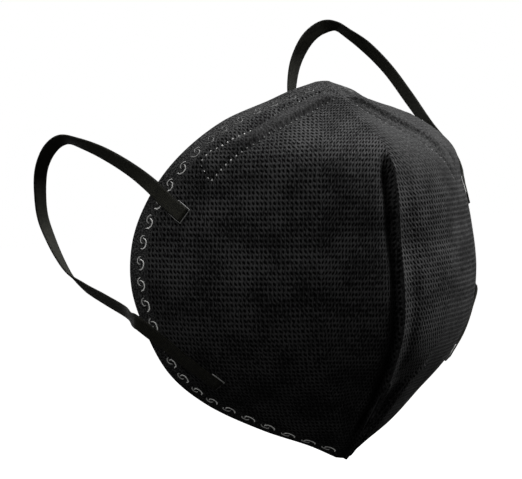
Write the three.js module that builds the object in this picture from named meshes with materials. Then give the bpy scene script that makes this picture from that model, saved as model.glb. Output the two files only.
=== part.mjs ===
// Fold-flat respirator mask, opened to the shape it has on a face, with two elastic ear loops.
//
// Frame, in millimetres: +Z up, the front of the mask faces -Y, +X is to the right of a viewer who
// looks at the front. The origin lies in the mirror plane, in the middle of the face opening.
//
// The laminated cloth is joined along the front crease. Each half is one curved wall whose rim is
// pressed flat by a weld. A bendable strip lies over the bridge of the nose.
import * as THREE from 'three';

const clearance = 0.3; // air left between two neighbouring pieces
const clothThickness = 1.6; // laminated cloth of the panels
const rimThickness = 1.0; // the same cloth, pressed flat by the weld round the rim
const rimWidth = 8.0; // the width of that weld
const rimStep = 1.5; // the width over which the cloth thins down to the weld

const stripWidth = 5.5; // bendable strip over the nose, under the outer layer of cloth
const stripHeight = 1.0;
const stripGap = 0.45; // under the strip, where it bends over the front crease

// Half-round section of the strip, from one edge to the other: across is the share of its width
// and rise the share of its height.
const stripProfile = [
  { across: -0.5, rise: 0.35 },
  { across: -0.35, rise: 0.9 },
  { across: 0, rise: 1 },
  { across: 0.35, rise: 0.9 },
  { across: 0.5, rise: 0.35 },
];

const strapWidth = 6.0; // flat elastic of the ear loops
const strapThickness = 0.9;

// Level sections of one half, from the nose down to the chin. crease is the Y of the front edge,
// side and back are the X and Y of the rim, and lead and tail are the angles in degrees between the
// mirror plane and the cloth, where it leaves the crease and where it reaches the rim.
const sections = [
  { z: 75.3, crease: -10.6, side: 3.5, back: -8.6, lead: 73, tail: 28 },
  { z: 72.0, crease: -17.0, side: 14.5, back: -7.5, lead: 74, tail: 28 },
  { z: 68.5, crease: -24.0, side: 22.5, back: -5.0, lead: 75, tail: 28 },
  { z: 60.5, crease: -35.0, side: 45.0, back: -7.0, lead: 76, tail: 29 },
  { z: 47.5, crease: -55.0, side: 63.5, back: -6.5, lead: 79, tail: 31 },
  { z: 33.0, crease: -60.0, side: 72.5, back: 0.0, lead: 85, tail: 34 },
  { z: 17.0, crease: -61.0, side: 78.5, back: 3.0, lead: 84, tail: 33 },
  { z: -1.0, crease: -63.0, side: 80.0, back: 2.5, lead: 81, tail: 30 },
  { z: -19.0, crease: -61.5, side: 75.5, back: 0.0, lead: 75, tail: 29 },
  { z: -36.0, crease: -53.5, side: 66.0, back: 0.5, lead: 69, tail: 28 },
  { z: -50.0, crease: -44.0, side: 50.0, back: 1.0, lead: 66, tail: 28 },
  { z: -61.0, crease: -34.0, side: 30.5, back: -7.5, lead: 66, tail: 29 },
  { z: -69.0, crease: -26.0, side: 11.5, back: -13.0, lead: 65, tail: 30 },
  { z: -73.6, crease: -20.6, side: 3.0, back: -17.3, lead: 65, tail: 30 },
];
const panelHeight = sections[0].z - sections[sections.length - 1].z;
const fullness = 0.36; // how far a section keeps its end directions, as a share of its chord

// The pressed crease stands proud of a shallow hollow on each side of it, from below the nose to
// the chin. It fades in and out over the last millimetres of height.
const creaseHollow = {
  depth: 1.1, from: 6.0, spread: 3.5, top: 50, topFade: 12, bottom: -66, bottomFade: 8,
};

// A soft fold runs over each half down to the chin, with a shallow facet between it and the crease.
const chinFold = { depth: 2.0, top: -30, bottom: -67, widest: 24, narrowest: 5 };

// Middle line of the nose strip on each half: along is the cloth's distance from the crease and up
// is the height. The strip is bent over the nose, and its right arm is pushed down further.
const stripLine = [
  { leftAlong: 0, leftUp: 70.2, rightAlong: 0, rightUp: 70.2 },
  { leftAlong: 10, leftUp: 67.6, rightAlong: 8, rightUp: 67.2 },
  { leftAlong: 20, leftUp: 64.0, rightAlong: 16, rightUp: 62.5 },
  { leftAlong: 32, leftUp: 59.8, rightAlong: 24, rightUp: 57.0 },
  { leftAlong: 45, leftUp: 54.8, rightAlong: 34, rightUp: 50.5 },
  { leftAlong: 57, leftUp: 50.2, rightAlong: 43, rightUp: 44.5 },
];

// Where each ear loop lies on its panel, from the upper strap end over the rim and from the rim to
// the lower strap end: the height, the distance in from the rim, and how far the strap is bowed
// off the cloth.
const upperWeld = [
  { z: 25.8, inFromRim: 19.7, bow: 0.1 },
  { z: 31.8, inFromRim: 8.5, bow: 0.2 },
  { z: 36.5, inFromRim: 0.0, bow: 0.4 },
];
const lowerWeld = [
  { z: -14.3, inFromRim: 0.0, bow: 1.1 },
  { z: -22.4, inFromRim: 8.0, bow: 0.4 },
  { z: -30.6, inFromRim: 14.5, bow: 0.2 },
  { z: -38.9, inFromRim: 19.7, bow: 0.1 },
];

// Free run of each ear loop, from the upper weld back round the ear to the lower weld. side is the
// distance from the mirror plane. turn is the strap's twist about its route in degrees: its width
// lies level and sideways at 0, and upright at 90 either way.
const leftLoop = [
  { side: 75.0, back: 8.0, up: 42.5, turn: -94 },
  { side: 79.0, back: 26.0, up: 49.0, turn: -78 },
  { side: 83.0, back: 41.0, up: 53.0, turn: -56 },
  { side: 85.0, back: 54.0, up: 54.5, turn: -38 },
  { side: 86.0, back: 67.0, up: 50.5, turn: -24 },
  { side: 86.0, back: 78.0, up: 42.0, turn: 0 },
  { side: 84.0, back: 86.0, up: 31.0, turn: 14 },
  { side: 81.5, back: 90.5, up: 20.5, turn: 20 },
  { side: 79.0, back: 88.5, up: 11.0, turn: 23 },
  { side: 77.0, back: 83.0, up: 2.5, turn: 33 },
  { side: 75.5, back: 76.0, up: -3.5, turn: 43 },
  { side: 73.0, back: 67.0, up: -7.8, turn: 54 },
  { side: 71.0, back: 50.0, up: -11.4, turn: 62 },
  { side: 70.5, back: 30.0, up: -14.4, turn: 66 },
  { side: 77.0, back: 9.0, up: -14.5, turn: 80 },
];
const rightLoop = [
  { side: 71.5, back: 7.0, up: 45.0, turn: -90 },
  { side: 67.5, back: 15.0, up: 55.0, turn: -90 },
  { side: 65.0, back: 27.0, up: 68.0, turn: -80 },
  { side: 61.0, back: 37.5, up: 81.0, turn: -82 },
  { side: 55.0, back: 45.5, up: 91.0, turn: -80 },
  { side: 49.5, back: 50.0, up: 96.5, turn: -100 },
  { side: 45.0, back: 54.5, up: 100.5, turn: -123 },
  { side: 40.5, back: 58.0, up: 100.0, turn: -122 },
  { side: 35.5, back: 61.0, up: 96.0, turn: -148 },
  { side: 30.0, back: 62.0, up: 87.5, turn: -180 },
  { side: 26.5, back: 61.0, up: 78.5, turn: -195 },
  { side: 25.0, back: 59.0, up: 67.0, turn: -208 },
  { side: 30.5, back: 55.0, up: 46.0, turn: -220 },
  { side: 43.0, back: 47.0, up: 21.0, turn: -232 },
  { side: 58.0, back: 34.0, up: 0.0, turn: -245 },
  { side: 76.5, back: 11.0, up: -13.5, turn: -264 },
];

const rowsPerPanel = 44;
const columnsInCloth = 16; // from the crease to the step down to the rim
const stepsPerLoop = 76;
const stepsPerStrip = 24;

const clothMaterial = { color: 0x1c1c1d, roughness: 0.9, metalness: 0 };
const stripMaterial = { color: 0x262628, roughness: 0.85, metalness: 0 };
const strapMaterial = { color: 0x161616, roughness: 0.8, metalness: 0 };

const radians = THREE.MathUtils.degToRad;
const smooth = THREE.MathUtils.smoothstep;
const normalStep = 0.004; // share of a row or section over which a normal is measured
const creaseCurve = new THREE.CatmullRomCurve3(
  sections.map((s) => new THREE.Vector3(0, s.crease, s.z)));
const rimCurve = new THREE.CatmullRomCurve3(
  sections.map((s) => new THREE.Vector3(s.side, s.back, s.z)));

// A value of the section table at row, which runs from 0 at the nose to 1 at the chin.
function tableValue(name, row) {
  const place = THREE.MathUtils.clamp(row, 0, 1) * (sections.length - 1);
  const first = Math.min(Math.floor(place), sections.length - 2);
  return THREE.MathUtils.lerp(sections[first][name], sections[first + 1][name], place - first);
}

function rowAtHeight(z) {
  let low = 0;
  let high = 1;
  for (let i = 0; i < 30; i += 1) {
    const middle = (low + high) / 2;
    if (creaseCurve.getPoint(middle).z > z) low = middle;
    else high = middle;
  }
  return low;
}

// The level curve of the right half at a row, from the crease to the rim.
function sectionCurve(row) {
  const start = creaseCurve.getPoint(row);
  const end = rimCurve.getPoint(row);
  const reach = fullness * start.distanceTo(end);
  const lead = radians(tableValue('lead', row));
  const tail = radians(tableValue('tail', row));
  const first = new THREE.Vector3(Math.sin(lead), Math.cos(lead), 0).multiplyScalar(reach);
  const last = new THREE.Vector3(Math.sin(tail), Math.cos(tail), 0).multiplyScalar(reach);
  return new THREE.CubicBezierCurve3(start, first.add(start), end.clone().sub(last), end);
}

// How far the cloth sinks below the smooth section, along millimetres away from the crease.
function hollowDepth(z, along) {
  const belowNose = smooth(creaseHollow.top - z, 0, creaseHollow.topFade);
  const aboveChin = smooth(z - creaseHollow.bottom, 0, creaseHollow.bottomFade);
  const offset = (along - creaseHollow.from) / creaseHollow.spread;
  const nearCrease = creaseHollow.depth * belowNose * aboveChin * Math.exp(-offset * offset);
  const down = THREE.MathUtils.clamp((chinFold.top - z) / (chinFold.top - chinFold.bottom), 0, 1);
  const width = THREE.MathUtils.lerp(chinFold.widest, chinFold.narrowest, down);
  const inFacet = THREE.MathUtils.clamp(along / width, 0, 1);
  const facet = chinFold.depth * Math.sin(Math.PI * down) * Math.sin(Math.PI * inFacet);
  return Math.max(nearCrease, facet);
}

// The way the smooth surface of the right half faces. across runs from 0 at the crease to 1 at the
// rim, in equal steps of cloth.
function outwardNormal(row, across) {
  const curve = sectionCurve(row);
  const above = sectionCurve(Math.max(row - normalStep, 0));
  const below = sectionCurve(Math.min(row + normalStep, 1));
  const inside = curve.getPointAt(Math.max(across - normalStep, 0));
  const outside = curve.getPointAt(Math.min(across + normalStep, 1));
  const down = below.getPointAt(across).sub(above.getPointAt(across));
  return down.cross(outside.sub(inside)).normalize();
}

// Point on the outer face of the right half, or off it by lift along the outward normal.
function clothPoint(row, across, lift) {
  const curve = sectionCurve(row);
  const point = curve.getPointAt(across);
  const sink = hollowDepth(point.z, across * curve.getLength());
  point.addScaledVector(outwardNormal(row, across), lift - sink);
  point.x = across > 0 ? Math.max(point.x, 0) + clearance / 2 : clearance / 2;
  return point;
}

// A closed solid from a grid of outer points and a matching grid of inner points.
function solidFromGrids(outer, inner, mirrored) {
  const rows = outer.length;
  const columns = outer[0].length;
  const positions = [];
  for (const grid of [outer, inner]) {
    for (const line of grid) {
      for (const point of line) positions.push(mirrored ? -point.x : point.x, point.y, point.z);
    }
  }
  const outside = (i, j) => i * columns + j;
  const inside = (i, j) => rows * columns + i * columns + j;
  const faces = [];
  const quad = (a, b, c, d) => faces.push([a, b, c], [a, c, d]);
  for (let i = 0; i < rows - 1; i += 1) {
    for (let j = 0; j < columns - 1; j += 1) {
      quad(outside(i, j), outside(i + 1, j), outside(i + 1, j + 1), outside(i, j + 1));
      quad(inside(i, j), inside(i, j + 1), inside(i + 1, j + 1), inside(i + 1, j));
    }
    quad(outside(i, 0), inside(i, 0), inside(i + 1, 0), outside(i + 1, 0));
    const last = columns - 1;
    quad(outside(i, last), outside(i + 1, last), inside(i + 1, last), inside(i, last));
  }
  for (let j = 0; j < columns - 1; j += 1) {
    quad(outside(0, j), outside(0, j + 1), inside(0, j + 1), inside(0, j));
    const last = rows - 1;
    quad(outside(last, j), inside(last, j), inside(last, j + 1), outside(last, j + 1));
  }
  const geometry = new THREE.BufferGeometry();
  geometry.setAttribute('position', new THREE.Float32BufferAttribute(positions, 3));
  geometry.setIndex(faces.flatMap(([a, b, c]) => (mirrored ? [a, c, b] : [a, b, c])));
  geometry.computeVertexNormals();
  return geometry;
}

// Cloth thickness, which falls to the pressed rim's over the last millimetres of a section and
// over the first and last rows.
function wallThickness(row, across) {
  const length = sectionCurve(row).getLength();
  const fromRim = (1 - across) * length;
  const fromEnds = Math.min(row, 1 - row) * panelHeight;
  const inside = smooth(Math.min(fromRim, fromEnds), rimWidth - rimStep, rimWidth);
  return THREE.MathUtils.lerp(rimThickness, clothThickness, inside);
}

// Places of the columns from crease to rim, with one pair at the step down to the pressed rim. The
// short sections at the nose and the chin give the rim no more than half their length.
function columnPlaces(row) {
  const length = sectionCurve(row).getLength();
  const rimShare = Math.min(rimWidth / length, 0.5);
  const stepShare = Math.min(rimStep / length, rimShare / 5);
  const places = [];
  for (let j = 0; j <= columnsInCloth; j += 1) {
    places.push((1 - rimShare) * (j / columnsInCloth));
  }
  places.push(1 - rimShare + stepShare, 1 - rimShare / 2, 1 - rimShare / 5, 1);
  return places;
}

function panelGeometry(mirrored) {
  const outer = [];
  const inner = [];
  for (let i = 0; i <= rowsPerPanel; i += 1) {
    const row = i / rowsPerPanel;
    const places = columnPlaces(row);
    outer.push(places.map((across) => clothPoint(row, across, 0)));
    inner.push(places.map((across) => clothPoint(row, across, -wallThickness(row, across))));
  }
  return solidFromGrids(outer, inner, mirrored);
}

// The strip lies on both halves, so its line runs from the left half's end over the crease to the
// right half's end, as points of the cloth's outer face with the direction it faces at each.
function stripStations() {
  const onHalf = (hand, along, up) => {
    const row = rowAtHeight(up);
    const across = along / sectionCurve(row).getLength();
    const point = clothPoint(row, across, 0);
    const normal = outwardNormal(row, across);
    if (along === 0) {
      point.x = 0;
      normal.x = 0;
    }
    point.x *= hand;
    normal.x *= hand;
    return { point, normal };
  };
  const left = stripLine.slice(1).reverse().map((p) => onHalf(-1, p.leftAlong, p.leftUp));
  const right = stripLine.map((p) => onHalf(1, p.rightAlong, p.rightUp));
  return [...left, ...right];
}

function stripGeometry() {
  const stations = stripStations();
  const points = new THREE.CatmullRomCurve3(stations.map((s) => s.point));
  const normals = new THREE.CatmullRomCurve3(stations.map((s) => s.normal));
  const outer = [];
  const inner = [];
  for (let i = 0; i <= stepsPerStrip; i += 1) {
    const share = i / stepsPerStrip;
    const normal = normals.getPoint(share).normalize();
    const side = normal.clone().cross(points.getTangent(share)).normalize();
    const place = (across, lift) => points.getPoint(share)
      .addScaledVector(side, across * stripWidth)
      .addScaledVector(normal, lift);
    outer.push(stripProfile.map((p) => place(p.across, stripGap + p.rise * stripHeight)));
    inner.push(stripProfile.map((p) => place(p.across, stripGap)));
  }
  return solidFromGrids(outer, inner, false);
}

// Waypoints of an ear loop on the right side, with the strap's width direction at each. On a panel
// the width lies flat on the cloth and points upwards, as it does at both ends of the free run.
function loopStations(freeRun) {
  const free = freeRun.map((p) => new THREE.Vector3(p.side, p.back, p.up));
  const onPanel = (spot) => {
    const row = rowAtHeight(spot.z);
    const across = 1 - spot.inFromRim / sectionCurve(row).getLength();
    const lift = clearance + strapThickness / 2 + spot.bow;
    return { point: clothPoint(row, across, lift), normal: outwardNormal(row, across) };
  };
  const upper = upperWeld.map(onPanel);
  const lower = lowerWeld.map(onPanel);
  const points = [...upper.map((s) => s.point), ...free, ...lower.map((s) => s.point)];
  const route = new THREE.CatmullRomCurve3(points);
  const widths = points.map((point, i) => {
    const tangent = route.getTangent(i / (points.length - 1));
    const level = new THREE.Vector3(1, 0, 0).addScaledVector(tangent, -tangent.x).normalize();
    const upright = tangent.clone().cross(level);
    if (i < upper.length) return upper[i].normal.clone().cross(tangent).normalize();
    if (i >= upper.length + free.length) {
      return tangent.clone().cross(lower[i - upper.length - free.length].normal).normalize();
    }
    const turn = radians(freeRun[i - upper.length].turn);
    return level.multiplyScalar(Math.cos(turn)).addScaledVector(upright, Math.sin(turn));
  });
  return { route, widths };
}

function earLoopGeometry(freeRun, mirrored) {
  const { route, widths } = loopStations(freeRun);
  const outer = [];
  const inner = [];
  for (let i = 0; i <= stepsPerLoop; i += 1) {
    const share = i / stepsPerLoop;
    const place = share * (widths.length - 1);
    const first = Math.min(Math.floor(place), widths.length - 2);
    const centre = route.getPoint(share);
    const tangent = route.getTangent(share);
    const width = widths[first].clone().lerp(widths[first + 1], place - first);
    width.addScaledVector(tangent, -width.dot(tangent)).normalize();
    const face = width.clone().cross(tangent);
    const edge = (side, depth) => centre.clone()
      .addScaledVector(width, side * strapWidth / 2)
      .addScaledVector(face, depth * strapThickness / 2);
    outer.push([edge(1, 1), edge(0, 1), edge(-1, 1)]);
    inner.push([edge(1, -1), edge(0, -1), edge(-1, -1)]);
  }
  return solidFromGrids(outer, inner, mirrored);
}

function namedMesh(name, geometry, look) {
  const mesh = new THREE.Mesh(geometry, new THREE.MeshStandardMaterial(look));
  mesh.name = name;
  return mesh;
}

const mask = new THREE.Group();
mask.add(namedMesh('left_panel', panelGeometry(true), clothMaterial));
mask.add(namedMesh('right_panel', panelGeometry(false), clothMaterial));
mask.add(namedMesh('nose_strip', stripGeometry(), stripMaterial));
mask.add(namedMesh('left_ear_loop', earLoopGeometry(leftLoop, true), strapMaterial));
mask.add(namedMesh('right_ear_loop', earLoopGeometry(rightLoop, false), strapMaterial));

export default mask;
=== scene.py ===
# Fold-flat respirator mask, opened as worn: pressed cloth shell, nose bar, rim weld and ear loops.
# The tables are in millimetres and every mesh is in metres.
import math

import bmesh
import bpy
from mathutils import Matrix, Vector, kdtree, noise
from mathutils.geometry import interpolate_bezier


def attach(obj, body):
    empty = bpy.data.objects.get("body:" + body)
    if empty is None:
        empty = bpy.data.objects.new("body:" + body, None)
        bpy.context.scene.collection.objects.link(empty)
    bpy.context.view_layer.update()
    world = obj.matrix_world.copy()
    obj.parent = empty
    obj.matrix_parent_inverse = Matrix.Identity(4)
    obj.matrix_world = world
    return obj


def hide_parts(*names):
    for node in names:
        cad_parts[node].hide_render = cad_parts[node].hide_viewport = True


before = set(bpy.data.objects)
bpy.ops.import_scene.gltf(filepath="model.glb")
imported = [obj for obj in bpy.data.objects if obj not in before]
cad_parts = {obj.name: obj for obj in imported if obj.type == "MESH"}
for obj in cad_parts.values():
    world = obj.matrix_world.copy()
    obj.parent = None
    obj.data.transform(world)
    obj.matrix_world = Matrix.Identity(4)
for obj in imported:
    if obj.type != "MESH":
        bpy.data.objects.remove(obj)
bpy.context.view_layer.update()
mm = 0.001
scene = bpy.context.scene


cameraView = {
    "turn": 28.55,  # degrees round from straight in front, towards the left half
    "above": 5.19,
    "roll": -1.43,
    "distance": 600.0,
    "across": 21.97,  # how far the view is slid sideways and up, at the mask
    "up": -11.99,
    "lens": 102.74,
}
studio = {
    "floorDrop": 420.0,
    "floorSize": 9.0,
    "aim": (0, -25, 5),  # where every light points
    "background": 1.0,
    "ambient": 0.004,
    "floorGrey": 0.04,  # what the floor gives back to the mask
    "floorPale": 0.95,
    "floorGlow": 1.0,
    "lights": [  # name, place, width, power in watts
        ("keyLight", (740, -190, 610), 420, 16.0),
        ("topLight", (-60, 60, 900), 500, 6.5),
        ("leftLight", (-800, -330, 640), 500, 2.6),
        ("frontLight", (-250, -800, 620), 500, 0.8),
        ("insideLight", (0, 520, 40), 400, 0.5),
    ],
}


def makeCamera():
    turn, above, roll = (math.radians(cameraView[k]) for k in ("turn", "above", "roll"))
    level = Vector((math.cos(turn), -math.sin(turn), 0))
    ahead = Vector((math.sin(turn), math.cos(turn), 0))
    forward = ahead * math.cos(above) - Vector((0, 0, math.sin(above)))
    upright = level.cross(forward)
    right = level * math.cos(roll) + upright * math.sin(roll)
    top = upright * math.cos(roll) - level * math.sin(roll)
    place = forward * cameraView["distance"] + right * cameraView["across"] + top * cameraView["up"]
    data = bpy.data.cameras.new("camera")
    data.lens = cameraView["lens"]
    data.clip_start = 0.01
    camera = bpy.data.objects.new("camera", data)
    facing = Matrix((right, top, -forward)).transposed().to_4x4()
    camera.matrix_world = Matrix.Translation(-place * mm) @ facing
    scene.collection.objects.link(camera)
    scene.camera = camera


def makeLights():
    middle = Vector(studio["aim"]) * mm
    for name, place, width, power in studio["lights"]:
        data = bpy.data.lights.new(name, "AREA")
        data.shape = "DISK"
        data.size = width * mm
        data.energy = power
        lamp = bpy.data.objects.new(name, data)
        lamp.location = Vector(place) * mm
        lamp.rotation_euler = (middle - lamp.location).to_track_quat("-Z", "Y").to_euler()
        scene.collection.objects.link(lamp)
    world = bpy.data.worlds.new("softRoom")
    scene.world = world
    world.use_nodes = True
    nodes, links = world.node_tree.nodes, world.node_tree.links
    nodes.clear()
    seen = nodes.new("ShaderNodeBackground")
    seen.inputs["Strength"].default_value = studio["background"]
    lit = nodes.new("ShaderNodeBackground")
    lit.inputs["Strength"].default_value = studio["ambient"]
    path = nodes.new("ShaderNodeLightPath")
    mix = nodes.new("ShaderNodeMixShader")
    out = nodes.new("ShaderNodeOutputWorld")
    seen.inputs["Color"].default_value = lit.inputs["Color"].default_value = (1, 1, 1, 1)
    links.new(path.outputs["Is Camera Ray"], mix.inputs["Fac"])
    links.new(lit.outputs[0], mix.inputs[1])
    links.new(seen.outputs[0], mix.inputs[2])
    links.new(mix.outputs[0], out.inputs["Surface"])


def makeFloor():
    mesh = bpy.data.meshes.new("floor")
    bm = bmesh.new()
    bmesh.ops.create_grid(bm, x_segments=1, y_segments=1, size=studio["floorSize"] / 2)
    bmesh.ops.translate(bm, vec=(0, 0, -studio["floorDrop"] * mm), verts=bm.verts)
    bm.to_mesh(mesh)
    bm.free()
    floor = bpy.data.objects.new("floor", mesh)
    scene.collection.objects.link(floor)
    look = bpy.data.materials.new("paleFloor")
    look.use_nodes = True
    nodes, links = look.node_tree.nodes, look.node_tree.links
    shader = nodes["Principled BSDF"]
    shader.inputs["Roughness"].default_value = 0.9
    path = nodes.new("ShaderNodeLightPath")
    shade = nodes.new("ShaderNodeMix")
    shade.data_type = "RGBA"
    shade.inputs["A"].default_value = (studio["floorGrey"],) * 3 + (1,)
    shade.inputs["B"].default_value = (studio["floorPale"],) * 3 + (1,)
    links.new(path.outputs["Is Camera Ray"], shade.inputs["Factor"])
    links.new(shade.outputs["Result"], shader.inputs["Base Color"])
    glow = nodes.new("ShaderNodeMath")
    glow.operation = "MULTIPLY"
    glow.inputs[1].default_value = studio["floorGlow"]
    shader.inputs["Emission Color"].default_value = (1, 1, 1, 1)
    links.new(path.outputs["Is Camera Ray"], glow.inputs[0])
    links.new(glow.outputs[0], shader.inputs["Emission Strength"])
    mesh.materials.append(look)


# Level sections of one half, from the nose to the chin: height, front edge, the rim's side and
# back, and the cloth's angle off the mirror plane at the front edge and at the rim, in degrees.
sections = [
    (75.3, -10.6, 3.5, -8.6, 73, 28),
    (72.0, -17.0, 14.5, -7.5, 74, 28),
    (68.5, -24.0, 22.5, -5.0, 75, 28),
    (60.5, -35.0, 45.0, -7.0, 76, 29),
    (47.5, -55.0, 63.5, -6.5, 79, 31),
    (33.0, -60.0, 72.5, 0.0, 85, 34),
    (17.0, -61.0, 78.5, 3.0, 84, 33),
    (-1.0, -63.0, 80.0, 2.5, 81, 30),
    (-19.0, -61.5, 75.5, 0.0, 75, 29),
    (-36.0, -53.5, 66.0, 0.5, 69, 28),
    (-50.0, -44.0, 50.0, 1.0, 66, 28),
    (-61.0, -34.0, 30.5, -7.5, 66, 29),
    (-69.0, -26.0, 11.5, -13.0, 65, 30),
    (-73.6, -20.6, 3.0, -17.3, 65, 30),
]
cut = {
    "fullness": 0.36,  # how far a section keeps its end directions, as a share of its chord
    "rows": 200,
    "steps": 120,  # points kept along a section
    "bezierPoints": 240,
    "wall": 1.5,
    "rimWall": 0.6,  # the rim's wall as a share of the rest
    "rimWidth": 8.0,
    "rimStep": 1.6,  # over which the cloth thins down to the rim
}
uvSpan = 400.0  # millimetres of cloth or strap to one unit of its UV map
nearRow, nearAcross = 0.006, 0.01  # how far to each side a normal's neighbours are taken
creasePoints = [Vector((0, s[1], s[0])) for s in sections]
rimPoints = [Vector((s[2], s[3], s[0])) for s in sections]


def smooth(value, low, high):
    share = min(max((value - low) / (high - low), 0.0), 1.0)
    return share * share * (3 - 2 * share)


def hump(distance, width):
    return math.exp(-(distance / width) ** 2)


def alongSpline(points, share):
    # centripetal spline through the points, share from 0 to 1
    last = len(points) - 1
    place = min(max(share, 0.0), 1.0) * last
    i = min(int(place), last - 1)
    t = place - i
    b, c = points[i], points[i + 1]
    a = points[i - 1] if i > 0 else b * 2 - c
    d = points[i + 2] if i + 2 <= last else c * 2 - b
    before, here, after = (math.sqrt((q - p).length) for p, q in ((a, b), (b, c), (c, d)))
    start = ((b - a) / before - (c - a) / (before + here) + (c - b) / here) * here
    end = ((c - b) / here - (d - b) / (here + after) + (d - c) / after) * here
    return b + start * t + (3 * (c - b) - 2 * start - end) * t ** 2 + (2 * (b - c) + start + end) * t ** 3


def sectionPoints(row):
    # one level section from the crease to the rim, in equal steps, and its length
    place = row * (len(sections) - 1)
    i = min(int(place), len(sections) - 2)
    upper, lower, share = sections[i], sections[i + 1], place - i
    lead, tail = (math.radians(upper[k] + (lower[k] - upper[k]) * share) for k in (4, 5))
    start, end = alongSpline(creasePoints, row), alongSpline(rimPoints, row)
    reach = cut["fullness"] * (end - start).length
    first = start + Vector((math.sin(lead), math.cos(lead), 0)) * reach
    last = end - Vector((math.sin(tail), math.cos(tail), 0)) * reach
    line = interpolate_bezier(start, first, last, end, cut["bezierPoints"])
    return evenSteps(line, cut["steps"])


def lengthsAlong(line):
    lengths = [0.0]
    for a, b in zip(line, line[1:]):
        lengths.append(lengths[-1] + (b - a).length)
    return lengths


def evenSteps(line, count):
    ends = lengthsAlong(line)
    points, i = [], 0
    for step in range(count + 1):
        want = ends[-1] * step / count
        while i < len(line) - 2 and ends[i + 1] < want:
            i += 1
        span = ends[i + 1] - ends[i] or 1.0
        points.append(line[i].lerp(line[i + 1], min(max((want - ends[i]) / span, 0.0), 1.0)))
    return points, ends[-1]


def onRow(i, distance):
    # the point of a row at a distance from the crease, and the row's direction there
    step = distance / rowLengths[i] * cut["steps"]
    j = min(int(step), cut["steps"] - 1)
    first, second = rowLines[i][j], rowLines[i][j + 1]
    return first.lerp(second, step - j), (second - first).normalized()


# The rows are laid out flat, as the blank was cut: each row's height and where its crease end lies.
rowLines, rowLengths = zip(*(sectionPoints(i / cut["rows"]) for i in range(cut["rows"] + 1)))
rowHeights = [line[0].z for line in rowLines]
rowDrops, rowStarts = [0.0], [0.0]
blankArea = 0.0
parts = 8  # a step down is the mean of those at the seven places that part a row into eight
for i in range(cut["rows"]):
    common = min(rowLengths[i], rowLengths[i + 1])
    drop = shift = 0.0
    for k in range(1, parts):
        above, _ = onRow(i, common * k / parts)
        below, tangent = onRow(i + 1, common * k / parts)
        slip = (below - above).dot(tangent)
        shift += slip / (parts - 1)
        drop += ((below - above) - tangent * slip).length / (parts - 1)
    rowDrops.append(rowDrops[-1] + drop)
    rowStarts.append(rowStarts[-1] + shift)
    blankArea += (rowLengths[i] + rowLengths[i + 1]) * drop
print("one half flat:", round(rowDrops[-1], 1), "by", round(max(rowLengths), 1), "mm,",
      "both halves:", round(blankArea * mm * mm, 4), "square metres")


def between(values, row):
    place = min(max(row, 0.0), 1.0) * cut["rows"]
    i = min(int(place), cut["rows"] - 1)
    return values[i] + (values[i + 1] - values[i]) * (place - i)


def surfacePoint(row, across):
    # a point of the smooth right half, row from nose to chin and across from crease to rim
    place = min(max(row, 0.0), 1.0) * cut["rows"]
    i = min(int(place), cut["rows"] - 1)
    step = min(max(across, 0.0), 1.0) * cut["steps"]
    j = min(int(step), cut["steps"] - 1)
    upper = rowLines[i][j].lerp(rowLines[i][j + 1], step - j)
    lower = rowLines[i + 1][j].lerp(rowLines[i + 1][j + 1], step - j)
    return upper.lerp(lower, place - i)


def surfaceNormal(row, across):
    across = min(max(across, nearAcross), 1 - nearAcross)
    above, below = max(row - nearRow, 0), min(row + nearRow, 1)
    down = surfacePoint(below, across) - surfacePoint(above, across)
    outwards = surfacePoint(row, across + nearAcross) - surfacePoint(row, across - nearAcross)
    return down.cross(outwards).normalized()


def rowAtHeight(height):
    low, high = 0.0, 1.0
    for _ in range(24):
        middle = (low + high) / 2
        low, high = (middle, high) if alongSpline(creasePoints, middle).z > height else (low, middle)
    return low


def flatPlace(along, height):
    # from a distance off the crease and a height to the blank laid flat
    row = rowAtHeight(height)
    return Vector((between(rowStarts, row) + along, between(rowDrops, row), 0))


def rowOfDrop(drop):
    low, high = 0.0, 1.0
    for _ in range(24):
        middle = (low + high) / 2
        low, high = (middle, high) if between(rowDrops, middle) < drop else (low, middle)
    return low


flatStep = 0.4  # between the points of a line drawn on the blank


def densely(points, step=flatStep):
    # points along a polyline, step apart
    line = []
    for a, b in zip(points, points[1:]):
        count = max(1, round((b - a).length / step))
        line += [a.lerp(b, k / count) for k in range(count)]
    return line + [points[-1]]


def treeOf(points):
    tree = kdtree.KDTree(len(points))
    for i, point in enumerate(points):
        tree.insert(point, i)
    tree.balance()
    return tree


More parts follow.
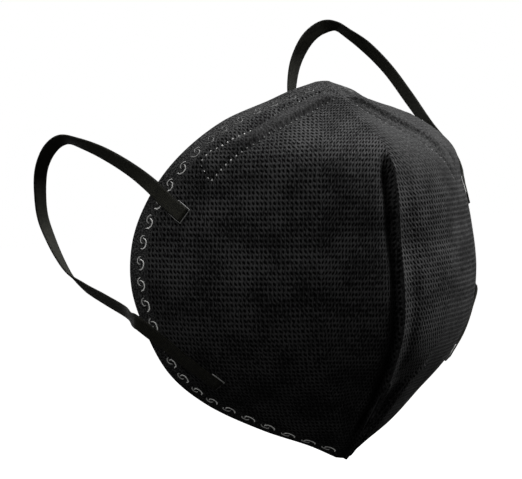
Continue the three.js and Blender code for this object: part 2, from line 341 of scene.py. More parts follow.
# What is pressed and welded into the cloth. -1 is the left half and 1 the right one.
relief = {
    "hollow": {-1: 3.2, 1: 0.7},  # depth beside the crease, from below the nose to the chin
    "hollowAt": {-1: 2.8, 1: 5.5},
    "hollowSpread": {-1: 1.9, 1: 3.5},
    "hollowTop": 50.0,
    "hollowTopFade": 12.0,
    "hollowBottom": -66.0,
    "hollowBottomFade": 8.0,
    "chinFold": 2.0,  # the facet that is pressed in beside the crease above the chin
    "chinFoldTop": -30.0,
    "chinFoldTall": 37.0,
    "chinFoldWidest": 24.0,
    "chinFoldNarrowest": 5.0,
    "creaseFin": 0.7,  # the pressed edge of the crease
    "creaseFinWidth": 0.8,
    "creaseFinTop": 47.0,
    "creaseFinFade": 7.0,
    "noseTuck": 1.5,  # on the left, just below the tip of the nose
    "noseTuckAt": 3.6,
    "noseTuckSpread": 2.6,
    "noseTuckHeight": 30.0,
    "noseTuckTall": 19.0,
    "barHeight": 1.9,
    "barFade": 13.0,  # how far from its ends the bar is at full height
    "barCore": 1.6,  # half the width of the bar's top
    "barFlank": 3.8,  # how far off its middle line its flanks end
    "groove": 0.85,  # along the weld lines round the nose bar
    "grooveWidth": 1.0,
    "rimPress": 0.35,
    "chinRidge": 1.0,
    "chinRidgeWidth": 0.9,
    "wave": 0.8,  # slow unevenness of the free cloth
    "waveLength": 34.0,
    "ripple": 0.12,
    "rippleLength": 9.0,
    "dotsFaintTo": 6.0,  # how far off the bar the dots are faint
    "noseSmoothFrom": 28.0,  # the right half's dots fade over these heights, near the nose
    "noseSmoothTo": 50.0,
    "creaseShade": 2.8,  # width of the shade painted into the left half's hollow
    "creaseShadeAt": 2.4,
    "creaseShadeTop": 48.0,
}
# Along and height of the nose bar's middle and of the weld lines above and below it, on each half.
barLine = {
    -1: [(0, 70.2), (10, 67.6), (20, 64.0), (32, 59.8), (45, 54.8), (57, 50.2)],
    1: [(0, 70.2), (8, 67.2), (16, 62.5), (24, 57.0), (34, 50.5), (43, 44.5)],
}
upperWeldLine = {
    -1: [(0, 72.2), (7, 71), (12.7, 69.6), (19, 67.7), (24, 66.2), (30, 63.1), (37, 59.7), (45, 57.1),
         (53, 55), (61, 52), (67, 50.2), (73, 45.8)],
    1: [(0, 72.2), (7, 70.6), (12.7, 68.3), (17.6, 65.5), (22.4, 62.6), (28.5, 57.5), (37.2, 52.1),
        (44.7, 47.5), (52, 42.5)],
}
lowerWeldLine = {
    -1: [(0, 68.8), (2, 68.5), (6, 67.4), (11, 65.8), (17, 63.3), (24, 61), (30, 58.7), (38, 56.1),
         (45, 53.2), (52, 50.8), (56, 49), (61.5, 45.9), (65, 43.2), (70.5, 38.6)],
    1: [(0, 68.8), (2.1, 67.5), (7, 63.8), (12, 60.1), (18.2, 54.9), (24.6, 50.3), (34.3, 45.2),
        (42, 39.5), (47, 36)],
}
chinRidges = [  # thin folds that run up from the chin on the right half
    [(2, -66), (4.5, -59), (3.5, -51), (1, -39)],
    [(7, -56), (12.5, -47), (14, -42), (24, -35)],
]


def drawnFlat(line):
    return [flatPlace(*p) for p in line]


def weldPath(side):
    return drawnFlat(upperWeldLine[side]) + drawnFlat(lowerWeldLine[side])[::-1]


rimFlat = densely([Vector((rowStarts[0], 0, 0))] + [
    Vector((rowStarts[i] + rowLengths[i], rowDrops[i], 0)) for i in range(cut["rows"] + 1)])
rimTree = treeOf(rimFlat)
barFlat = {side: densely(drawnFlat(barLine[side])) for side in (-1, 1)}
barTrees = {side: treeOf(barFlat[side]) for side in (-1, 1)}
weldTrees = {side: treeOf(densely(weldPath(side))) for side in (-1, 1)}
chinTree = treeOf([spot for ridge in chinRidges for spot in densely(drawnFlat(ridge))])


def hollowDepth(side, height, along):
    belowNose = smooth(relief["hollowTop"] - height, 0, relief["hollowTopFade"])
    aboveChin = smooth(height - relief["hollowBottom"], 0, relief["hollowBottomFade"])
    across = hump(along - relief["hollowAt"][side], relief["hollowSpread"][side])
    beside = relief["hollow"][side] * belowNose * aboveChin * across
    down = min(max((relief["chinFoldTop"] - height) / relief["chinFoldTall"], 0.0), 1.0)
    widest, narrowest = relief["chinFoldWidest"], relief["chinFoldNarrowest"]
    inFacet = min(max(along / (widest + (narrowest - widest) * down), 0.0), 1.0)
    return max(beside, relief["chinFold"] * math.sin(math.pi * down) * math.sin(math.pi * inFacet))


def unevenness(side, spot, layer, length):
    return noise.noise(Vector((spot.x * side, spot.y, layer)) / length)


def reliefAt(side, row, across):
    # how far the cloth stands off the smooth surface, how far it is pressed, how faint its dots are,
    # how much shade is painted into the fold, and its place laid flat
    height = between(rowHeights, row)
    along = between(rowLengths, row) * across
    spot = Vector((between(rowStarts, row) + along, between(rowDrops, row), 0))
    fromRim = rimTree.find(spot)[2]
    barIndex, offBar = barTrees[side].find(spot)[1:]
    offWeld = weldTrees[side].find(spot)[2]
    toEnd = (len(barFlat[side]) - 1 - barIndex) * flatStep
    fromCrease = barIndex * flatStep
    barShare = smooth(toEnd, 0, relief["barFade"]) * smooth(fromCrease, 0, relief["barFade"] / 2)
    press = 1 - smooth(fromRim, cut["rimWidth"] - cut["rimStep"], cut["rimWidth"])
    belowNose = smooth(relief["creaseFinTop"] - height, 0, relief["creaseFinFade"])
    free = smooth(fromRim, 6, 26) * smooth(offBar, 3, 14)

    lift = -hollowDepth(side, height, along)
    lift += relief["creaseFin"] * belowNose * hump(along, relief["creaseFinWidth"])
    lift += relief["barHeight"] * barShare * (1 - smooth(offBar, relief["barCore"], relief["barFlank"]))
    lift -= relief["groove"] * smooth(along, 1, 6) * hump(offWeld, relief["grooveWidth"])
    lift -= relief["rimPress"] * press
    lift += relief["wave"] * free * unevenness(side, spot, 7.0, relief["waveLength"])
    lift += relief["ripple"] * free * unevenness(side, spot, 31.0, relief["rippleLength"])
    soft = barShare * (1 - smooth(offBar, 2, relief["dotsFaintTo"]))
    paintedShade = 0.0
    if side < 0:
        tuckDown = hump(height - relief["noseTuckHeight"], relief["noseTuckTall"]) * belowNose
        lift -= relief["noseTuck"] * hump(along - relief["noseTuckAt"], relief["noseTuckSpread"]) * tuckDown
        # painted shade: the cloth's colour is darkened along the left half's crease hollow
        paintedShade = hump(along - relief["creaseShadeAt"], relief["creaseShade"])
        paintedShade *= smooth(relief["creaseShadeTop"] - height, 0, 10)
    else:
        lift += relief["chinRidge"] * hump(chinTree.find(spot)[2], relief["chinRidgeWidth"])
        nearNose = smooth(height, relief["noseSmoothFrom"], relief["noseSmoothTo"])
        soft = max(soft, nearNose * smooth(along, 0, 8))
    lift *= smooth(math.hypot(along, spot.y), 0.5, 5)  # the very tip stays smooth
    return lift, press, soft, paintedShade, spot


def columnShares():
    # closer columns beside the crease and along the rim, as shares of a section
    marks = [(0.0, 0.037, 9), (0.037, 0.13, 12), (0.13, 0.91, 66), (0.91, 1.0, 16)]
    return [a + (b - a) * k / n for a, b, n in marks for k in range(n)] + [1.0]


def pieceFrom(bm, name, looks):
    mesh = bpy.data.meshes.new(name)
    for face in bm.faces:
        face.smooth = True
    bm.to_mesh(mesh)
    bm.free()
    piece = bpy.data.objects.new(name, mesh)
    scene.collection.objects.link(piece)
    for look in looks:
        mesh.materials.append(look)
    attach(piece, "root")
    return piece


def makeShell(looks):
    shares = columnShares()
    half = len(shares) - 1
    bm = bmesh.new()
    flat = bm.loops.layers.uv.new("flat")
    pressed = bm.verts.layers.float.new("pressed")
    softened = bm.verts.layers.float.new("softened")
    shaded = bm.verts.layers.float.new("shaded")
    bmesh.ops.create_grid(bm, x_segments=2 * half, y_segments=cut["rows"], size=1)
    laid = {}
    for vert in bm.verts:
        column = round((vert.co.x + 1) * half) - half
        side = -1 if column < 0 else 1
        row = round((1 - vert.co.y) / 2 * cut["rows"]) / cut["rows"]
        across = shares[abs(column)]
        laid[vert] = side, row, across
        vert.co = surfacePoint(row, across)
        vert.co.x *= side
    bm.normal_update()
    middle = min(bm.verts, key=lambda v: v.co.y)
    if middle.normal.y > 0:
        bmesh.ops.reverse_faces(bm, faces=bm.faces)
        bm.normal_update()
    places, moves = {}, {}
    for vert, (side, row, across) in laid.items():
        lift, press, soft, paintedShade, spot = reliefAt(side, row, across)
        if across == 0:
            lift = (lift + reliefAt(-side, row, across)[0]) / 2
        moves[vert] = vert.normal * lift
        vert[pressed] = press
        vert[softened] = soft
        vert[shaded] = paintedShade
        places[vert] = (spot.x * side / uvSpan + 0.5, 1 - spot.y / uvSpan)
    for vert, move in moves.items():
        vert.co += move
        if laid[vert][2] == 0:
            vert.co.x = 0
    for face in bm.faces:
        for loop in face.loops:
            loop[flat].uv = places[loop.vert]
    bmesh.ops.scale(bm, vec=(mm, mm, mm), verts=bm.verts)
    shell = pieceFrom(bm, "cloth_shell", looks)
    wall = shell.modifiers.new("wall", "SOLIDIFY")
    wall.thickness = cut["wall"] * mm
    wall.offset = -1
    wall.material_offset = 1
    wall.material_offset_rim = 0
    thick = shell.vertex_groups.new(name="thick")
    for i, value in enumerate(shell.data.attributes["pressed"].data):
        thick.add([i], 1 - (1 - cut["rimWall"]) * value.value, "REPLACE")
    wall.vertex_group = "thick"
    return shell


def newGroup(name, inputs, outputs):
    group = bpy.data.node_groups.new(name, "ShaderNodeTree")
    for label, kind, value in inputs:
        socket = group.interface.new_socket(label, in_out="INPUT", socket_type="NodeSocket" + kind)
        if value is not None:
            socket.default_value = value
    for label, kind in outputs:
        group.interface.new_socket(label, in_out="OUTPUT", socket_type="NodeSocket" + kind)
    return group, group.nodes.new("NodeGroupInput"), group.nodes.new("NodeGroupOutput")


def fill(tree, socket, value):
    # a number goes on the socket itself, and anything else is linked to it
    if isinstance(value, (int, float)):
        socket.default_value = value
    else:
        tree.links.new(value, socket)


def calc(tree, kind, *values):
    node = tree.nodes.new("ShaderNodeMath")
    node.operation = kind
    for socket, value in zip(node.inputs, values):
        fill(tree, socket, value)
    return node.outputs[0]


def times(tree, first, second):
    return calc(tree, "MULTIPLY", first, second)


def ramp(tree, value, low, high, fromValue=0.0, toValue=1.0):
    node = tree.nodes.new("ShaderNodeMapRange")
    node.interpolation_type = "SMOOTHSTEP"
    for socket, part in zip(node.inputs, (value, low, high, fromValue, toValue)):
        fill(tree, socket, part)
    return node.outputs[0]


def attribute(tree, name):
    node = tree.nodes.new("ShaderNodeAttribute")
    node.attribute_name = name
    return node.outputs["Fac"]


def noiseOf(tree, vector, scale, detail=2.0, roughness=0.5):
    node = tree.nodes.new("ShaderNodeTexNoise")
    fill(tree, node.inputs["Scale"], scale)
    node.inputs["Detail"].default_value = detail
    node.inputs["Roughness"].default_value = roughness
    tree.links.new(vector, node.inputs["Vector"])
    return node.outputs["Fac"]


def makeDotGroup():
    # rows of small leaning dents; Vector is the cloth laid flat, in millimetres
    group, start, end = newGroup("embossedDots", [
        ("Vector", "Vector", None), ("Across", "Float", 1.63), ("Down", "Float", 1.97),
        ("Long", "Float", 0.95), ("Wide", "Float", 0.5), ("Lean", "Float", 0.58),
    ], [("Mask", "Float")])
    parts = group.nodes.new("ShaderNodeSeparateXYZ")
    group.links.new(start.outputs["Vector"], parts.inputs[0])
    wander = calc(group, "SUBTRACT", noiseOf(group, start.outputs["Vector"], 0.5, 1.0), 0.5)
    wandered = calc(group, "ADD", parts.outputs["X"], wander)

    def fromCentre(place, pitch):
        # how far a place lies from the middle of its cell
        share = calc(group, "FRACT", calc(group, "DIVIDE", place, start.outputs[pitch]))
        return times(group, calc(group, "SUBTRACT", share, 0.5), start.outputs[pitch])

    dx, dy = fromCentre(wandered, "Across"), fromCentre(parts.outputs["Y"], "Down")
    cosine = calc(group, "COSINE", start.outputs["Lean"])
    sine = calc(group, "SINE", start.outputs["Lean"])
    acrossDot = calc(group, "ADD", times(group, dx, cosine), times(group, dy, sine))
    alongDot = calc(group, "SUBTRACT", times(group, dy, cosine), times(group, dx, sine))
    wide = calc(group, "DIVIDE", acrossDot, start.outputs["Wide"])
    tall = calc(group, "DIVIDE", alongDot, start.outputs["Long"])
    far = calc(group, "SQRT", calc(group, "ADD", times(group, wide, wide), times(group, tall, tall)))
    group.links.new(ramp(group, far, 0.45, 1.2, 1.0, 0.0), end.inputs["Mask"])
    return group


def makeFibreGroup():
    # matted fibres: short streaks that cross, and a finer grain
    group, start, end = newGroup("mattedFibres", [
        ("Vector", "Vector", None), ("Fineness", "Float", 1.0),
    ], [("Height", "Float")])
    layers = []
    for turn, stretch in ((0.5, 5.0), (1.9, 4.0), (2.8, 6.0)):
        mapping = group.nodes.new("ShaderNodeMapping")
        mapping.inputs["Rotation"].default_value = (0, 0, turn)
        mapping.inputs["Scale"].default_value = (stretch, 1.0, 1.0)
        group.links.new(start.outputs["Vector"], mapping.inputs["Vector"])
        layers.append(noiseOf(group, mapping.outputs[0], start.outputs["Fineness"], 1.0))
    total = calc(group, "ADD", calc(group, "ADD", layers[0], layers[1]), layers[2])
    group.links.new(calc(group, "DIVIDE", total, 3.0), end.inputs["Height"])
    return group


def useGroup(tree, group, **values):
    node = tree.nodes.new("ShaderNodeGroup")
    node.node_tree = group
    for label, value in values.items():
        fill(tree, node.inputs[label], value)
    return node.outputs[0]


def uvOf(tree, name):
    uv = tree.nodes.new("ShaderNodeUVMap")
    uv.uv_map = name
    return uv.outputs[0]


def flatMillimetres(tree):
    # the cloth laid flat, in millimetres, with the crease near the middle
    mapping = tree.nodes.new("ShaderNodeMapping")
    mapping.inputs["Location"].default_value = (-uvSpan / 2, 0, 0)
    mapping.inputs["Scale"].default_value = (uvSpan, uvSpan, 1)
    tree.links.new(uvOf(tree, "flat"), mapping.inputs["Vector"])
    return mapping.outputs[0]


def blendColours(tree, share, first, second):
    node = tree.nodes.new("ShaderNodeMix")
    node.data_type = "RGBA"
    tree.links.new(share, node.inputs["Factor"])
    for label, colour in (("A", first), ("B", second)):
        if isinstance(colour, tuple):
            node.inputs[label].default_value = colour + (1,)
        else:
            tree.links.new(colour, node.inputs[label])
    return node.outputs["Result"]


def newLook(name, roughness, sheen=0.0, sheenRoughness=0.5, specular=0.5):
    look = bpy.data.materials.new(name)
    look.use_nodes = True
    shader = look.node_tree.nodes["Principled BSDF"]
    shader.inputs["Roughness"].default_value = roughness
    shader.inputs["Sheen Weight"].default_value = sheen
    shader.inputs["Sheen Roughness"].default_value = sheenRoughness
    shader.inputs["Specular IOR Level"].default_value = specular
    return look, look.node_tree, shader


def addBump(tree, shader, height, distance):
    bump = tree.nodes.new("ShaderNodeBump")
    bump.inputs["Distance"].default_value = distance * mm
    bump.inputs["Strength"].default_value = 1.0
    tree.links.new(height, bump.inputs["Height"])
    tree.links.new(bump.outputs[0], shader.inputs["Normal"])


clothLook = {
    "colour": (0.012, 0.012, 0.0123),
    "paler": (0.062, 0.062, 0.0625),
    # painted shade, near black, for the embossed dents and the crease hollow
    "paintedShadeColour": (0.0004, 0.0004, 0.0004),
    "rimColour": (0.008, 0.008, 0.0082),
    "rimPaler": (0.08, 0.08, 0.08),
    "roughness": 0.85,
    "sheen": 0.02,
    "sheenRoughness": 0.4,
    "specular": 0.04,
    "rightCloser": 1.35,  # how much closer the dots lie across the right half
    "rowSlope": 0.03,  # how the rows of dots rise across the right half
    "faintDots": 0.7,  # how much fainter they are over the nose bar
    # how strongly the painted shade darkens the crease hollow
    "matted": 0.6,  # how far the cloth there looks like the pressed rim
    "foldShade": 0.7,
    "dotDepth": 0.2,
    "fibreDepth": 0.09,
    "rimGrain": 0.12,
}


def dotCoordinates(tree, flat):
    # on the right half the dots lie closer together and their rows rise
    parts = tree.nodes.new("ShaderNodeSeparateXYZ")
    tree.links.new(flat, parts.inputs[0])
    left = calc(tree, "MINIMUM", parts.outputs["X"], 0.0)
    right = calc(tree, "MAXIMUM", parts.outputs["X"], 0.0)
    drawn = tree.nodes.new("ShaderNodeCombineXYZ")
    across = calc(tree, "MULTIPLY_ADD", right, -clothLook["rightCloser"], left)
    down = calc(tree, "MULTIPLY_ADD", right, clothLook["rowSlope"], parts.outputs["Y"])
    tree.links.new(across, drawn.inputs["X"])
    tree.links.new(down, drawn.inputs["Y"])
    return drawn.outputs[0]


def makeClothLook(dots, fibres):
    look, tree, shader = newLook(
        "embossedCloth", clothLook["roughness"], clothLook["sheen"], clothLook["sheenRoughness"],
        clothLook["specular"])
    flat = flatMillimetres(tree)
    pressed, softened, shaded = (attribute(tree, name) for name in ("pressed", "softened", "shaded"))

    mask = useGroup(tree, dots, Vector=dotCoordinates(tree, flat))
    strength = ramp(tree, noiseOf(tree, flat, 0.5, 2.0), 0.25, 0.5, 0.6, 1.0)
    free = calc(tree, "SUBTRACT", 1.0, pressed)
    clear = calc(tree, "MULTIPLY_ADD", softened, -clothLook["faintDots"], 1.0)
    shown = times(tree, times(tree, mask, strength), times(tree, free, clear))

    grain = useGroup(tree, fibres, Vector=flat, Fineness=0.6)
    patches = ramp(tree, noiseOf(tree, flat, 0.08, 3.0), 0.3, 0.7, -0.05, 0.05)
    fleck = ramp(tree, calc(tree, "ADD", grain, patches), 0.4, 0.6)
    speckle = ramp(tree, noiseOf(tree, flat, 1.3, 3.0, 0.7), 0.4, 0.65)
    base = blendColours(tree, fleck, clothLook["colour"], clothLook["paler"])
    rimBase = blendColours(tree, speckle, clothLook["rimColour"], clothLook["rimPaler"])
    grainy = calc(tree, "MAXIMUM", pressed, times(tree, softened, clothLook["matted"]))
    whole = blendColours(tree, grainy, base, rimBase)
    # painted shade in the left half's crease hollow
    withCreaseShade = blendColours(tree, times(tree, shaded, clothLook["foldShade"]), whole, clothLook["paintedShadeColour"])
    # painted shade: the embossed dents are darkened towards black
    dotted = blendColours(tree, shown, withCreaseShade, clothLook["paintedShadeColour"])
    tree.links.new(dotted, shader.inputs["Base Color"])

    fibreHeight = times(tree, grain, clothLook["fibreDepth"])
    rimHeight = times(tree, times(tree, speckle, pressed), clothLook["rimGrain"])
    cloth = calc(tree, "SUBTRACT", fibreHeight, times(tree, shown, clothLook["dotDepth"]))
    addBump(tree, shader, calc(tree, "ADD", cloth, rimHeight), 1.0)
    return look


liningLook = {
    "colour": (0.012, 0.012, 0.0125),
    "paler": (0.04, 0.04, 0.041),
    "roughness": 0.88,
    "fibreDepth": 0.08,
}


def makeLiningLook(fibres):
    look, tree, shader = newLook("liningCloth", liningLook["roughness"], 0.02, 0.5, 0.1)
    grain = useGroup(tree, fibres, Vector=flatMillimetres(tree), Fineness=0.9)
    colour = blendColours(tree, grain, liningLook["colour"], liningLook["paler"])
    tree.links.new(colour, shader.inputs["Base Color"])
    addBump(tree, shader, grain, liningLook["fibreDepth"])
    return look


weldLook = {
    "colour": (0.03, 0.03, 0.03),
    # painted gleam: the pale colour the welds take where they catch the light
    "paintedGleamColour": (0.8, 0.8, 0.78),
    "glow": (1.0, 1.0, 0.97),
    "glowStrength": 0.12,  # painted highlight: glow that stands in for the gleam of a melted line
    "roughness": 0.45,
    "speckleScale": 900.0,
}


def makeWeldLook():
    look, tree, shader = newLook("weldedLine", weldLook["roughness"])
    coords = tree.nodes.new("ShaderNodeTexCoord")
    speckle = noiseOf(tree, coords.outputs["Object"], weldLook["speckleScale"], 2.0)
    # painted gleam set on each weld's vertices, giving its pale colour and glow
    share = times(tree, attribute(tree, "paintedGleam"), ramp(tree, speckle, 0.3, 0.6, 0.6, 1.0))
    colour = blendColours(tree, share, weldLook["colour"], weldLook["paintedGleamColour"])
    tree.links.new(colour, shader.inputs["Base Color"])
    glow = blendColours(tree, share, (0.0, 0.0, 0.0), weldLook["glow"])
    tree.links.new(glow, shader.inputs["Emission Color"])
    shader.inputs["Emission Strength"].default_value = weldLook["glowStrength"]
    return look


def onCloth(side, flatX, flatY, lift):
    # from the blank laid flat to the worn shape, with the way the cloth faces there
    row = rowOfDrop(flatY)
    across = (flatX - between(rowStarts, row)) / max(between(rowLengths, row), 1e-6)
    point, normal = surfacePoint(row, across), surfaceNormal(row, across)
    point = point + normal * (lift + reliefAt(side, row, min(max(across, 0.0), 1.0))[0])
    point.x *= side
    normal.x *= side
    return point * mm, normal


hooks = {
    "pitch": 8.8,
    "fromRim": 4.6,
    "fromChin": 5.5,
    "width": 0.5,
    "height": 0.2,
    # one hook, along the rim and in from it; the other is its half turn
    "line": [(-1.2, -0.2), (-1.0, 0.9), (0.1, 1.6), (1.7, 1.55), (2.9, 0.9), (3.3, -0.2)],
    "outerSize": 0.75,
    "step": 0.75,
    "leastGleam": 0.06,  # how much painted gleam the hooks have, which grows down the left half's rim
    "gleamRise": 0.84,
    "gleamRiseFrom": 62.0,
    "gleamRiseTo": 92.0,
    "outerGleam": 0.5,
}


def sweep(bm, rings):
    # extrude the first ring through the places of all the others, and close both ends
    ring = [bm.verts.new(spot) for spot in rings[0]]
    edges = [bm.edges.new(pair) for pair in zip(ring, ring[1:] + ring[:1])]
    swept = [ring]
    for places in rings[1:]:
        made = bmesh.ops.extrude_edge_only(bm, edges=edges)["geom"]
        fresh = {g for g in made if isinstance(g, bmesh.types.BMVert)}
        edges = [g for g in made if isinstance(g, bmesh.types.BMEdge) and fresh.issuperset(g.verts)]
        pairs = [(e.other_vert(v), v) for v in fresh for e in v.link_edges]
        follower = {old: v for old, v in pairs if old not in fresh}
        ring = [follower[v] for v in ring]
        for vert, spot in zip(ring, places):
            vert.co = spot
        swept.append(ring)
    for end in (swept[0], swept[-1]):
        bm.faces.new(end)
    return swept


def sweptBead(bm, spots, normals, width, height):
    # a half-round bead along the spots: a short profile, extruded from spot to spot
    profile = [(-0.5, -0.25), (-0.3, 0.75), (0.3, 0.75), (0.5, -0.25)]
    tip = 0.55  # how wide the bead is at its two ends
    rings = []
    for i, (spot, normal) in enumerate(zip(spots, normals)):
        ahead = (spots[min(i + 1, len(spots) - 1)] - spots[max(i - 1, 0)]).normalized()
        side = ahead.cross(normal).normalized()
        wide, tall = width * mm * (tip if i in (0, len(spots) - 1) else 1.0), height * mm
        rings.append([spot + side * (x * wide) + normal * (y * tall) for x, y in profile])
    sweep(bm, rings)


def setGleamFrom(bm, first, layer, value):
    # sets the painted gleam of the vertices that were made after the first ones
    bm.verts.ensure_lookup_table()
    for vert in bm.verts[first:]:
        vert[layer] = value


def makeRimWeld(look):
    bm = bmesh.new()
    layer = bm.verts.layers.float.new("paintedGleam")
    lengths = lengthsAlong(rimFlat)
    last = len(rimFlat) - 1

    def rimSpot(distance, inwards):
        i = next((k for k, value in enumerate(lengths) if value >= distance), last)
        ahead = (rimFlat[min(i + 5, last)] - rimFlat[max(i - 5, 0)]).normalized()
        return rimFlat[i] + Vector((-ahead.y, ahead.x, 0)) * inwards

    def addHook(side, centre, turn, size):
        # turn is 1 for the hook as it is drawn, and -1 for its half turn
        corners = [Vector((s, t, 0)) * turn * size for s, t in hooks["line"]]
        spots = [rimSpot(centre + p.x, hooks["fromRim"] + p.y) for p in densely(corners, hooks["step"])]
        points, normals = zip(*(onCloth(side, spot.x, spot.y, 0.0) for spot in spots))
        sweptBead(bm, points, normals, hooks["width"], hooks["height"])

    topEdge = rowLengths[0]
    count = int((lengths[-1] - topEdge - hooks["fromChin"] - 3) / hooks["pitch"]) + 1
    for side in (-1, 1):
        for n in range(count):
            centre = lengths[-1] - hooks["fromChin"] - hooks["pitch"] * n
            # painted gleam of the hooks, growing down the left half's rim
            gleamLevel = hooks["leastGleam"]
            if side < 0:
                gleamLevel += hooks["gleamRise"] * smooth(centre, hooks["gleamRiseFrom"], hooks["gleamRiseTo"])
            for turn, size, share in ((1, 1, 1.0), (-1, hooks["outerSize"], hooks["outerGleam"])):
                known = len(bm.verts)
                addHook(side, centre, turn, size)
                setGleamFrom(bm, known, layer, gleamLevel * share)
    bmesh.ops.recalc_face_normals(bm, faces=bm.faces)
    pieceFrom(bm, "rim_weld", [look])


dotLine = {
    "pitch": 2.8,
    "radius": 0.42,
    "height": 0.34,
    "apexGap": 4.0,
    "lift": 0.02,
    "upperReach": 26.0,  # how far from the line's outer corner the dots keep their painted gleam
    "lowerReach": 12.0,
    "reachFade": 10.0,
    "leastGleam": 0.08,
    "gleamRise": 0.72,
    "rightGleam": 0.04,
}


def makeWeldDots(look):
    bm = bmesh.new()
    layer = bm.verts.layers.float.new("paintedGleam")
    flattened = Matrix.Diagonal((1, 1, dotLine["height"] / dotLine["radius"], 1))
    for side in (-1, 1):
        upper = drawnFlat(upperWeldLine[side])
        corner, upperLength = upper[-1], lengthsAlong(upper)[-1]
        line = densely(weldPath(side), 0.2)
        due = dotLine["pitch"] / 2
        for point, travelled in zip(line, lengthsAlong(line)):
            if travelled < due:
                continue
            due += dotLine["pitch"]
            if point.x - between(rowStarts, rowOfDrop(point.y)) < dotLine["apexGap"]:
                continue
            place, normal = onCloth(side, point.x, point.y, dotLine["lift"])
            turn = normal.to_track_quat("Z", "Y").to_matrix().to_4x4()
            known = len(bm.verts)
            bmesh.ops.create_uvsphere(bm, u_segments=8, v_segments=5, radius=dotLine["radius"] * mm,
                                      matrix=Matrix.Translation(place) @ turn @ flattened)
            # painted gleam of the dots: strongest near the outer corner of the left half's weld line, faint
            # on the right half
            reach = dotLine["upperReach"] if travelled < upperLength else dotLine["lowerReach"]
            near = 1 - smooth((point - corner).length, reach, reach + dotLine["reachFade"])
            gleamLevel = dotLine["leastGleam"] + dotLine["gleamRise"] * near if side < 0 else dotLine["rightGleam"]
            setGleamFrom(bm, known, layer, gleamLevel)
    pieceFrom(bm, "nose_weld_dots", [look])


strap = {"width": 6.0, "thickness": 0.9, "gap": 0.12, "steps": 150}
# Where each end lies on the cloth: height, distance in from the rim, and bow off the cloth.
upperWeld = [(25.8, 19.7, 0.1), (31.8, 8.5, 0.2), (36.5, 0.0, 0.4)]
lowerWeld = [(-14.3, 0.0, 1.1), (-22.4, 8.0, 0.4), (-30.6, 14.5, 0.2), (-38.9, 19.7, 0.1)]
# Free run of each loop from the upper weld to the lower: side, back, up and the strap's twist.
loopRuns = {
    -1: [
        (75.0, 8.0, 42.5, -94), (79.0, 26.0, 49.0, -78), (83.0, 41.0, 53.0, -56), (85.0, 54.0, 54.5, -38),
        (86.0, 67.0, 50.5, -24), (86.0, 78.0, 42.0, 0), (84.0, 86.0, 31.0, 14), (81.5, 90.5, 20.5, 20),
        (79.0, 88.5, 11.0, 23), (77.0, 83.0, 2.5, 33), (75.5, 76.0, -3.5, 43), (73.0, 67.0, -7.8, 61),
        (71.0, 50.0, -11.4, 70), (70.5, 30.0, -14.4, 72), (77.0, 9.0, -14.5, 80),
    ],
    1: [
        (71.5, 7.0, 45.0, -90), (67.5, 15.0, 55.0, -90), (65.0, 27.0, 68.0, -80), (61.0, 37.5, 81.0, -82),
        (55.0, 45.5, 91.0, -80), (49.5, 50.0, 96.5, -100),
        (45.0, 54.5, 100.5, -123), (40.5, 58.0, 100.0, -122),
        (35.5, 61.0, 96.0, -148), (30.0, 62.0, 87.5, -180),
        (26.5, 61.0, 78.5, -195), (25.0, 59.0, 67.0, -208),
        (30.5, 55.0, 46.0, -220), (43.0, 47.0, 21.0, -232),
        (58.0, 34.0, 0.0, -245), (76.5, 11.0, -13.5, -264),
    ],
}


def heading(points, share):
    near = 0.0005
    return (alongSpline(points, share + near) - alongSpline(points, share - near)).normalized()


def loopStations(side):
    # the strap's middle line with its width and face directions, on the right half's side
    ends = []
    for group in (upperWeld, lowerWeld):
        laid = []
        for height, inwards, bow in group:
            row = rowAtHeight(height)
            length = between(rowLengths, row)
            across = 1 - inwards / length
            normal = surfaceNormal(row, across)
            lift = strap["gap"] + strap["thickness"] / 2 + bow
            sink = hollowDepth(side, height, across * length)
            laid.append((surfacePoint(row, across) + normal * (lift - sink), normal))
        ends.append(laid)
    run = loopRuns[side]
    points = [p for p, _ in ends[0]] + [Vector(r[:3]) for r in run] + [p for p, _ in ends[1]]
    last = len(points) - 1
    runStart, runEnd = len(ends[0]), len(ends[0]) + len(run)
    widths = []
    for i in range(len(points)):
        ahead = heading(points, i / last)
        if i < runStart:
            widths.append(ends[0][i][1].cross(ahead).normalized())
        elif i >= runEnd:
            widths.append(ahead.cross(ends[1][i - runEnd][1]).normalized())
        else:
            level = (Vector((1, 0, 0)) - ahead * ahead.x).normalized()
            turn = math.radians(run[i - runStart][3])
            widths.append(level * math.cos(turn) + ahead.cross(level) * math.sin(turn))
    stations = []
    for i in range(strap["steps"] + 1):
        share = i / strap["steps"]
        place = share * last
        k = min(int(place), last - 1)
        ahead = heading(points, share)
        width = widths[k].lerp(widths[k + 1], place - k)
        width = (width - ahead * width.dot(ahead)).normalized()
        stations.append((alongSpline(points, share), width, width.cross(ahead)))
    return stations


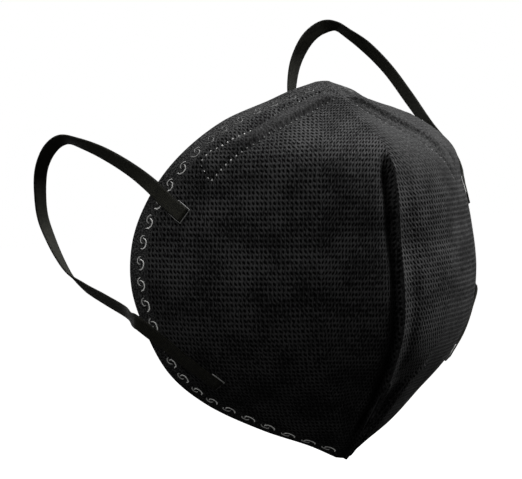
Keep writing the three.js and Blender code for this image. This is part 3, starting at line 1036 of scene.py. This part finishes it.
def makeEarLoop(side, name, node, look):
    stations = loopStations(side)
    half, deep = strap["width"] / 2, strap["thickness"] / 2
    # rounded edges and a slightly hollow face, round the strap
    profile = [(1, 0.0), (0.97, 0.5), (0.9, 0.92), (0.78, 1.0), (0.4, 0.9),
               (0, 0.86), (-0.4, 0.9), (-0.78, 1.0), (-0.9, 0.92), (-0.97, 0.5)]
    profile += [(-x, -y) for x, y in profile]
    bm = bmesh.new()
    uv = bm.loops.layers.uv.new("strap")
    rings = []
    for point, width, facing in stations:
        ring = [point + width * (x * half) + facing * (y * deep) for x, y in profile]
        rings.append([Vector((spot.x * side, spot.y, spot.z)) * mm for spot in ring])
    lengths = lengthsAlong([point for point, _, _ in stations])
    where = {}
    for ring, far in zip(sweep(bm, rings), lengths):
        for k, vert in enumerate(ring):
            where[vert] = k / len(profile), far / uvSpan
    for face in bm.faces:
        around = [where[loop.vert][0] for loop in face.loops]
        wraps = max(around) - min(around) > 0.5 and len(face.verts) == 4
        for loop in face.loops:
            u, v = where[loop.vert]
            loop[uv].uv = (u + 1 if wraps and u < 0.5 else u, v)
    bmesh.ops.recalc_face_normals(bm, faces=bm.faces)
    loopPiece = pieceFrom(bm, name, [look])
    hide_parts(node)
    print(name, "length", round(lengths[-1], 1), "mm")


# the strap end welds carry painted gleam too
strapEdge = {"reach": 7.0, "out": 0.15, "width": 0.35, "height": 0.3, "gleamLevel": 0.3}


def makeStrapEdges(look):
    # the melted edge that stands round each welded end of the straps
    bm = bmesh.new()
    layer = bm.verts.layers.float.new("paintedGleam")
    out = strap["width"] / 2 + strapEdge["out"]
    for side in (-1, 1):
        stations = loopStations(side)
        for ordered, up in ((stations, -1), (stations[::-1], 1)):
            end = ordered[0][0]
            close = [s for s in ordered[:40] if (s[0] - end).length < strapEdge["reach"]]
            beyond = (close[0][0] - close[1][0]).normalized() * strapEdge["out"]
            corners = [(p + w * out, f) for p, w, f in close[::-1]]
            width, face = close[0][1:]
            corners += [(end + beyond + width * (out * k / 4), face) for k in range(4, -5, -1)]
            corners += [(p - w * out, f) for p, w, f in close]
            spots = [spot - f * (up * strap["thickness"] / 2) for spot, f in corners]
            spots = [Vector((p.x * side, p.y, p.z)) * mm for p in spots]
            faces = [Vector((f.x * side, f.y, f.z)) * up for _, f in corners]
            sweptBead(bm, spots, faces, strapEdge["width"], strapEdge["height"])
    setGleamFrom(bm, 0, layer, strapEdge["gleamLevel"])
    bmesh.ops.recalc_face_normals(bm, faces=bm.faces)
    pieceFrom(bm, "strap_end_welds", [look])


elasticLook = {
    "colour": (0.0035, 0.0035, 0.002),
    "paler": (0.02, 0.02, 0.0125),
    "roughness": 0.75,
    "sheen": 0.05,
    "ribs": 60,  # round the strap
    "pick": 0.7,  # millimetres along it
    "slant": 0.9,  # how far the ribs push the picks along, in radians
    "ribShare": 0.6,
    "knitDepth": 0.12,
    "fleckScale": 1300.0,
    "fleckShare": 0.65,
}


def makeElasticLook():
    look, tree, shader = newLook("knittedElastic", elasticLook["roughness"], elasticLook["sheen"], 0.4, 0.2)
    parts = tree.nodes.new("ShaderNodeSeparateXYZ")
    tree.links.new(uvOf(tree, "strap"), parts.inputs[0])
    wave = calc(tree, "SINE", times(tree, parts.outputs["X"], elasticLook["ribs"] * math.tau))
    along = times(tree, parts.outputs["Y"], uvSpan / elasticLook["pick"] * math.tau)
    slant = calc(tree, "ADD", along, times(tree, wave, elasticLook["slant"]))
    ribs = calc(tree, "MULTIPLY_ADD", wave, 0.5, 0.5)
    picks = calc(tree, "MULTIPLY_ADD", calc(tree, "SINE", slant), 0.5, 0.5)
    ribShare, fleckShare = elasticLook["ribShare"], elasticLook["fleckShare"]
    height = calc(tree, "ADD", times(tree, ribs, ribShare), times(tree, picks, 1 - ribShare))
    coords = tree.nodes.new("ShaderNodeTexCoord")
    speckle = noiseOf(tree, coords.outputs["Object"], elasticLook["fleckScale"], 3.0, 0.7)
    fleck = ramp(tree, speckle, 0.38, 0.64)
    share = calc(tree, "MULTIPLY_ADD", fleck, fleckShare, times(tree, height, 1 - fleckShare))
    colour = blendColours(tree, share, elasticLook["colour"], elasticLook["paler"])
    tree.links.new(colour, shader.inputs["Base Color"])
    addBump(tree, shader, height, elasticLook["knitDepth"])
    return look


makeCamera()
makeLights()
makeFloor()
print("camera, lights and floor are set")
dots = makeDotGroup()
fibres = makeFibreGroup()
shell = makeShell([makeClothLook(dots, fibres), makeLiningLook(fibres)])
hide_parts("left_panel", "right_panel", "nose_strip")
print("shell is pressed")
weld = makeWeldLook()
makeRimWeld(weld)
makeWeldDots(weld)
print("rim and nose welds are in")
elastic = makeElasticLook()
makeEarLoop(-1, "left_elastic", "left_ear_loop", elastic)
makeEarLoop(1, "right_elastic", "right_ear_loop", elastic)
makeStrapEdges(weld)
print("ear loops are on")
scene.view_settings.view_transform = "Standard"
